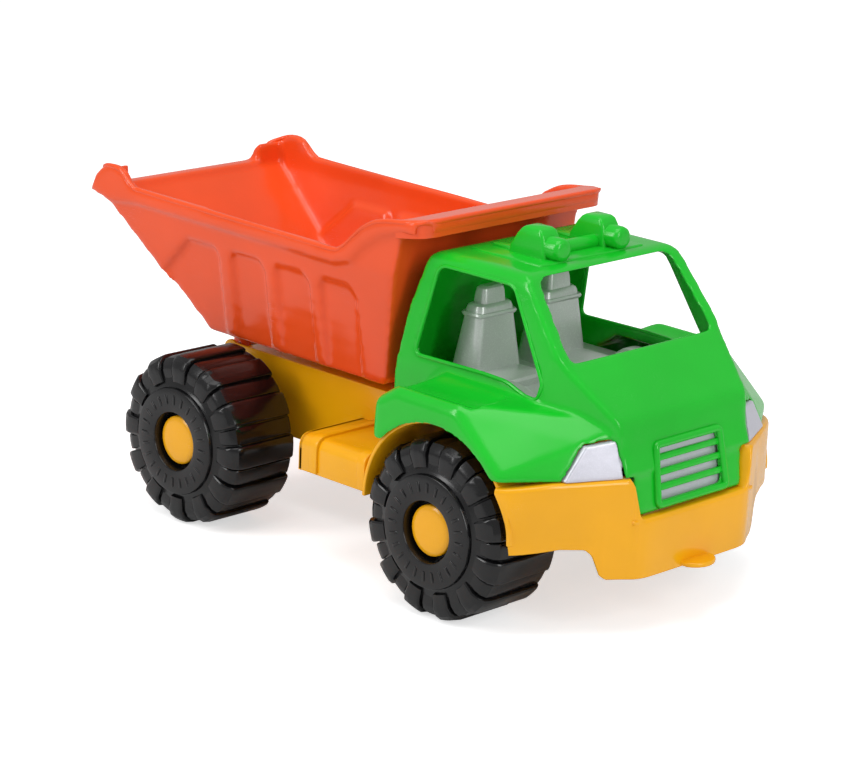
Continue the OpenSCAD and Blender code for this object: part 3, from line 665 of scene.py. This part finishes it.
# ---- Seats ----
# One silver moulding inside the cab: a floor on two legs, with two seats that narrow upwards
# to a headrest. Its pearl colour comes from fine metal flakes in the plastic, drawn as pale specks
# that are partly the flakes' own tone and partly painted glint.
def pearl(name, colour, flake_and_glint):
    """Silver plastic with fine flakes under a clear skin, drawn as pale specks that are partly painted glint.
    """
    finish = Finish(name, metallic=0.35)
    cells = finish.add("ShaderNodeTexVoronoi", {}, {"Vector": finish.where, "Scale": 1900}, 1)
    cloud = finish.noise(16, 3)
    # Pale specks for the metal flakes: partly the flakes' own tone, partly painted glint.
    flakes_with_painted_glint = finish.add("ShaderNodeSeparateColor", {}, {"Color": cells}).above(0.7, 1.0)
    dark = tuple(c * 0.9 for c in colour)
    pale = tuple(min(1, c * 1.2) for c in colour)
    base = finish.blend(cloud.above(0.35, 0.65), (*dark, 1), (*colour, 1))
    finish.set("Base Color", finish.blend(flakes_with_painted_glint * flake_and_glint, base, (*pale, 1)))
    finish.set("Roughness", cloud * 0.12 + 0.26)
    finish.set("Normal", finish.bump(finish.noise(280, 2), 0.00008, finish.bump(finish.noise(28, 1), 0.0005)))
    return finish.material


silver = pearl("silver_pearl", (0.66, 0.70, 0.67), 0.5)


def upright(y, *levels):
    """A loft of rounded rectangles: height, back, front, half width and corner radius of each."""
    rings = []
    for z, x0, x1, half_w, radius in levels:
        outline = rounded([(x0, y - half_w), (x1, y - half_w), (x1, y + half_w), (x0, y + half_w)], radius, 6)
        rings.append([(px, py, z) for px, py in outline])
    return loft(rings)


floor_z = arch_z + arch_r + 3.7
seat_y = 29.3
back = upright(seat_y, (floor_z, 165, 190, 20.6, 5), (floor_z + 6, 165.6, 189.3, 20.2, 5),
               (floor_z + 40, 170.3, 186, 15.6, 5), (floor_z + 44.5, 170.9, 185.5, 15.0, 5),
               (floor_z + 46.6, 171.7, 184.7, 14.1, 4.4), (floor_z + 47.6, 173, 183.4, 12.6, 3.6))
headrest = upright(seat_y, (floor_z + 45, 172.6, 183.6, 10.2, 3.4), (floor_z + 54, 173.4, 182.8, 9.4, 3.4),
                   (floor_z + 56.6, 174.0, 182.2, 8.7, 3), (floor_z + 57.8, 175.2, 181, 7.4, 2.4))
pipe = upright(seat_y, (floor_z + 40, 169.6, 187, 16.4, 5), (floor_z + 41.3, 169, 187.6, 17, 5),
               (floor_z + 42.6, 169.6, 187, 16.4, 5))
cushion = upright(seat_y, (floor_z, 186, 213, 18.6, 5), (floor_z + 6, 186.4, 212.6, 18.2, 5),
                  (floor_z + 7.6, 187.4, 211.4, 17.2, 4.4), (floor_z + 8, 189, 209.8, 15.6, 3.6))
seat_floor = block((160.5, -71.5, floor_z), (263.5, 71.5, floor_z + 2.4), 0.9)
hump = upright(60, (floor_z + 1, 206, 246, 9, 4), (floor_z + 8, 209, 240, 8, 4),
               (floor_z + 11, 213, 234, 6.4, 3.6), (floor_z + 12, 216, 230, 4.6, 3))
leg = block((174.5, 22, frame_top + 0.2), (258, 24.5, floor_z + 1), 0.5)
piece("silver_seats", both(back) + both(headrest) + both(pipe) + both(cushion) + [seat_floor] + both(hump)
      + both(leg), silver, "truck", "silver_plastic", "seat_insert", sharp=32)


# ---- Lamps and tub ----
# The silver lamp strip and the orange tub are thin mouldings. Each starts from its own solid,
# is laid over with one even skin, and has its edges eased as they come out of a mould.
def eased(mesh, voxel, passes):
    """One even skin over a closed mesh, with its edges eased."""
    obj = work(mesh)
    skin = obj.modifiers.new("skin", "REMESH")
    skin.mode = "VOXEL"
    skin.voxel_size = voxel
    ease = obj.modifiers.new("ease", "SMOOTH")
    ease.factor = 0.5
    ease.iterations = passes
    return finished(obj)


def solid_of(node):
    """A merged copy of a CAD solid, in millimetres ahead of the rear axle."""
    bm = bmesh.new()
    bm.from_mesh(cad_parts[node].data)
    bmesh.ops.remove_doubles(bm, verts=bm.verts, dist=0.000002)
    bmesh.ops.transform(bm, matrix=to_truck.inverted(), verts=bm.verts)
    mesh = bpy.data.meshes.new(node)
    bm.to_mesh(mesh)
    bm.free()
    return mesh


lamp_silver = pearl("lamp_silver", (0.60, 0.60, 0.67), 0.35)
lamps = eased(solid_of("lamp_insert"), voxel=0.55, passes=4)
piece("silver_lamps", [lamps], lamp_silver, "truck", "silver_plastic", "lamp_insert")


def bead(path, radius, outward, sides=10):
    """A round bead along a closed path whose surface faces outward."""
    rings = []
    for i, point in enumerate(path):
        ahead = (path[(i + 1) % len(path)] - path[i - 1]).normalized()
        across = ahead.cross(outward).normalized()
        rings.append([point + (outward * math.cos(a) + across * math.sin(a)) * radius
                      for a in (math.tau * k / sides for k in range(sides))])
    return loft(rings, caps=False)


orange = moulded("orange_plastic", (0.90, 0.088, 0.014))
# A round bead stiffens the rim. It peaks over the tail's corners and climbs to the hood.
rim_y = 81.4
rim = [(-131, 0, 190.5), (-131, 30, 190.5), (-131, 50, 190.5), (-131, 58, 191.5), (-131, 65, 197),
       (-130, 71, 202.5), (-127, 77, 205), (-121, 80.5, 207.5), (-113, rim_y, 208.5), (-105, rim_y, 207),
       (-98, rim_y, 201.5), (-92, rim_y, 197.8), (-84, rim_y, 197), (-20, rim_y, 195.8), (40, rim_y, 195),
       (92, rim_y, 194), (102, rim_y, 196.6), (110, rim_y, 203.5), (119, rim_y, 211.5),
       (130, rim_y, 217.5), (141, rim_y, 220.3), (152, rim_y, 221.6), (160, 80.6, 222.8),
       (167, 77, 223.6), (170.4, 70, 224.2), (170.8, 60, 224.4), (170.8, 30, 224.4)]
rim_half = through([(x, y, z - 1.7) for x, y, z in rim], 4)
rim_path = rim_half + [Vector((p.x, -p.y, p.z)) for p in reversed(rim_half[1:])]
up = Vector((0, 0, 1))
rim_bead = bead(rim_path, 1.65, up, 12)
# The hood's corners are round in plan, and a thin lip hangs below its edge.
hood_plan = rounded([(-150, -100), (172, -83), (172, 83), (-150, 100)], [0, 16, 16, 0], 12)
tub = carve("INTERSECT", solid_of("dump_tub"), prism("z", hood_plan, 60, 260), solver="MANIFOLD")
lip_section = [(-1.1, 0.8), (1.1, 0.8), (1.3, -3), (1.2, -9), (0.4, -9.8), (-0.6, -9.4), (-0.9, -3)]
lip_start = 146
lip = []
for before, point, after in zip(rim_path, rim_path[1:], rim_path[2:]):
    if point.x > lip_start:
        out = (after - before).cross(up).normalized()
        lip.append([point + out * across + Vector((0, 0, drop)) for across, drop in lip_section])
piece("orange_tub", [eased(tub, voxel=1.66, passes=11), rim_bead, loft(lip)], orange, "tub",
      "orange_plastic", "dump_tub", sharp=60)


# ---- Cab ----
# One green polypropylene shell: cabin, bonnet, mudguards and nose, open below. It is drawn as
# solid forms inside and outside, and its edges are eased together before the trim goes on.
green = moulded("green_plastic", (0.008, 0.52, 0.022))
cab_wall = 2.2
roof_z = 204
ridge_x, ridge_z = wheelbase + 86, 129
nose_x = 320.5
cab_base = bumper_top + 0.2


def cabin(t):
    """The cabin and bonnet, drawn in by t."""
    side = rounded([(145 + t, 88), (145 + t, 127), (151 + t, 166), (163.5 + t, roof_z - t),
                    (241 - 0.6 * t, roof_z - t), (277 - 1.1 * t, 158 - 0.5 * t),
                    (ridge_x - t, ridge_z - 0.7 * t),
                    (315.5 - t, 92)], [0, 30, 60, 11 - t, 13 - t, 22, 9 - t, 0], 10)
    plan = rounded([(134, -76 + t), (262, -76 + t), (nose_x, -54 + t), (nose_x, 54 - t), (262, 76 - t),
                    (134, 76 - t)], [0, 60, 0, 0, 60, 0], 12)
    front = rounded(mirrored([(76 - t, 0), (76 - t, 132), (67.6 - t, roof_z + 0.6 - t)]),
                    [0, 60, 11 - t, 11 - t, 60, 0], 10)
    return carve("INTERSECT", prism("y", side, -80, 80), prism("z", plan, 60, 240),
                 prism("x", front, 100, 340), solver="MANIFOLD")


def balls(corners, t):
    """The hull of balls (x, y, z, radius) and of their mirror images, drawn in by t."""
    bm = bmesh.new()
    for x, y, z, radius in corners:
        for side in (1, -1):
            for i in range(1, 12):
                for k in range(24):
                    tilt, turn = math.pi * i / 12, math.tau * k / 24
                    out = Vector((math.sin(tilt) * math.cos(turn), math.sin(tilt) * math.sin(turn),
                                  math.cos(tilt)))
                    bm.verts.new(Vector((x, side * y, z)) + out * (radius - t))
    hull = bmesh.ops.convex_hull(bm, input=bm.verts)
    inside = {v for v in hull["geom_interior"] + hull["geom_unused"] if isinstance(v, bmesh.types.BMVert)}
    bmesh.ops.delete(bm, geom=list(inside), context="VERTS")
    loose = [v for v in bm.verts if not v.link_faces]
    bmesh.ops.delete(bm, geom=loose, context="VERTS")
    return take(bm)


guard_corners = [(wheelbase - 44.5, 114.6, 120, 7), (wheelbase - 31, 113.1, 127.5, 8.5),
                 (wheelbase - 46.5, 116.6, 100, 5), (wheelbase + 14, 112.6, 127, 8.5),
                 (wheelbase + 49, 115.6, 99, 6), (wheelbase + 60, 99.5, 99, 6),
                 (wheelbase + 71, 86.5, 97.5, 5), (nose_x - 8.5, 54.5, 97.5, 5),
                 (wheelbase + 71, 73, 113.5, 7), (ridge_x - 7, 49, 121.5, 7)]


def guards(t):
    """The mudguards with the channel along their tops, drawn in by t."""
    channel = circle(98, 162.5, 33 + t, 72)
    along = [prism("x", [(side * y, z) for y, z in channel], 150, 246) for side in (1, -1)]
    return carve("DIFFERENCE", balls(guard_corners, t), *along, solver="MANIFOLD")


def nose(t):
    """The block of the nose below the bonnet's ridge, drawn in by t."""
    side = rounded([(277 - t, 64), (277 - t, ridge_z - t), (ridge_x - t, ridge_z - t), (nose_x - t, 72),
                    (nose_x - t, 64)], [0, 0, 7 - t, 0, 0], 8)
    front = rounded(mirrored([(46 - t, 60), (46 - t, 73), (54 - t, 130)]), 0)
    return carve("INTERSECT", prism("y", side, -80, 80), prism("x", front, 100, 340), solver="MANIFOLD")


def wheel_room(radius, y0):
    """The room that both front wheels take, from y0 outwards."""
    return both(prism("y", circle(wheelbase, arch_z, radius, 120), y0, 140))


def opening(outline, axis, low, high, radii):
    return prism(axis, rounded(outline, radii, 8), low, high)


below = [prism("y", [(100, 40), (400, 40), (400, cab_base), (244, cab_base), (244, 100), (100, 100)],
               -150, 150),
         prism("y", [(100, 30), (267, 30), (267, 102.2), (100, 102.2)], -52.5, 52.5)]
upper = carve("UNION", cabin(0), guards(0), solver="MANIFOLD")
upper = carve("DIFFERENCE", upper, *below, *wheel_room(arch_r, 78), solver="MANIFOLD")
shell = carve("UNION", upper, nose(0), solver="MANIFOLD")
shell = carve("DIFFERENCE", shell, cabin(cab_wall), nose(cab_wall), guards(cab_wall),
              prism("z", [(100, -150), (400, -150), (400, 150), (100, 150)], 0, 73), solver="MANIFOLD")
window = [(162, 141.5), (173.5, 195.5), (232, 195.5), (263, 146), (260, 135.5), (250, 136.5), (235, 141.5),
          (216, 142.2)]
window_radii = [5, 9, 10, 6, 5, 14, 30, 30]
windscreen = [(63.4, 158), (57.6, 200.5)]
lamp_hole = [(56.5, 88), (58, 119), (76, 117), (90, 98), (90, 88)]
lamp_radii = [0, 3, 4, 4, 0]
grille = [(-27.5, 80), (27.5, 80), (25.5, 110.5), (-25.5, 110.5)]
cuts = [opening(window, "y", -130, 130, window_radii),
        opening(mirrored(windscreen), "x", 233, 400, [6, 7, 7, 6]),
        opening(lamp_hole, "x", 284, 400, lamp_radii),
        opening([(-y, z) for y, z in lamp_hole], "x", 284, 400, lamp_radii),
        opening(grille, "x", 300, 400, 3)]
shell = carve("DIFFERENCE", shell, *cuts, solver="MANIFOLD")
shell = eased(shell, voxel=1.37, passes=17)


def side_y(z):
    """Half the width of the cabin at a height."""
    return ramp(z, (0, 76), (128, 76), (140, 75.1), (192, 69), (204, 67.6))


def plan_y(x):
    """Half the width of the cabin at a distance ahead of the rear axle."""
    return ramp(x, (0, 76), (250, 76), (268, 74.4), (nose_x, 54))


rim_w = 1.2
wider = [(x + (-rim_w if x < 200 else rim_w), z + (rim_w if z > 170 else -rim_w)) for x, z in window]
window_path = [Vector((x, min(side_y(z), plan_y(x)) - 0.5, z)) for x, z in rounded(wider, window_radii, 8)]
window_bead = bead(window_path, 1.25, Vector((0, 1, 0.1)).normalized())

nose_lean = math.atan((nose_x - ridge_x) / (ridge_z - 73))
to_nose = Matrix.Translation((nose_x, 0, 73)) @ Matrix.Rotation(-nose_lean, 4, "Y")


def on_nose(mesh):
    """Lays a mesh drawn in the plane of the nose, with X out of it, on the leaning nose."""
    mesh.transform(to_nose)
    return mesh


frame_outline = rounded([(-31, 4.2), (31, 4.2), (28.6, 39.4), (-28.6, 39.4)], 3, 6)
frame_path = [Vector((0.4, y, z)) for y, z in frame_outline]
grille_frame = on_nose(bead(frame_path, 2.4, Vector((1, 0, 0)), 12))
louvres = [on_nose(block((-3.2, -28.6, z), (0.9, 28.6, z + 4.0), 1.1)) for z in (12.1, 20.8, 29.5)]

pod_y = 26.5
hump_pod = upright(pod_y, (200, 194, 225, 8, 2.5), (209, 196.5, 224.5, 8, 2.5), (217, 201.5, 223, 7.6, 2.5),
                   (220.6, 204.5, 221, 7, 2.4), (222, 206.5, 219, 5.8, 2))
knob = loft([[(x, y, z) for y, z in circle(pod_y, 210.8, radius, 36)]
             for x, radius in ((218, 7.2), (230.5, 7.2), (232.6, 6.7), (233.7, 5.6), (234.1, 3.6))])
pod_bar = loft([[(x, y, z) for x, z in circle(216, 207, 4.5, 28)] for y in (-24, 24)])
panel = block((176, -46, roof_z - 1.6), (233, 46, roof_z + 0.9), 1.1)
ridges = [block((180, y - 5, roof_z - 0.5), (197, y + 5, roof_z + 2.6), 1.3)
          for y in (pod_y, -pod_y)]
posts = [prism("z", circle(x, y, 4.6, 28), low, high)
         for x, y, low, high in ((wheelbase - 71, 36, 102.2, 117), (wheelbase + 86, 39, 73.2, 93))]
piece("green_cab",
      [shell, grille_frame, pod_bar, panel] + louvres + ridges + both(window_bead) + both(hump_pod)
      + both(knob) + [m for post in posts for m in both(post)],
      green, "truck", "green_plastic", "cab_shell", sharp=50)
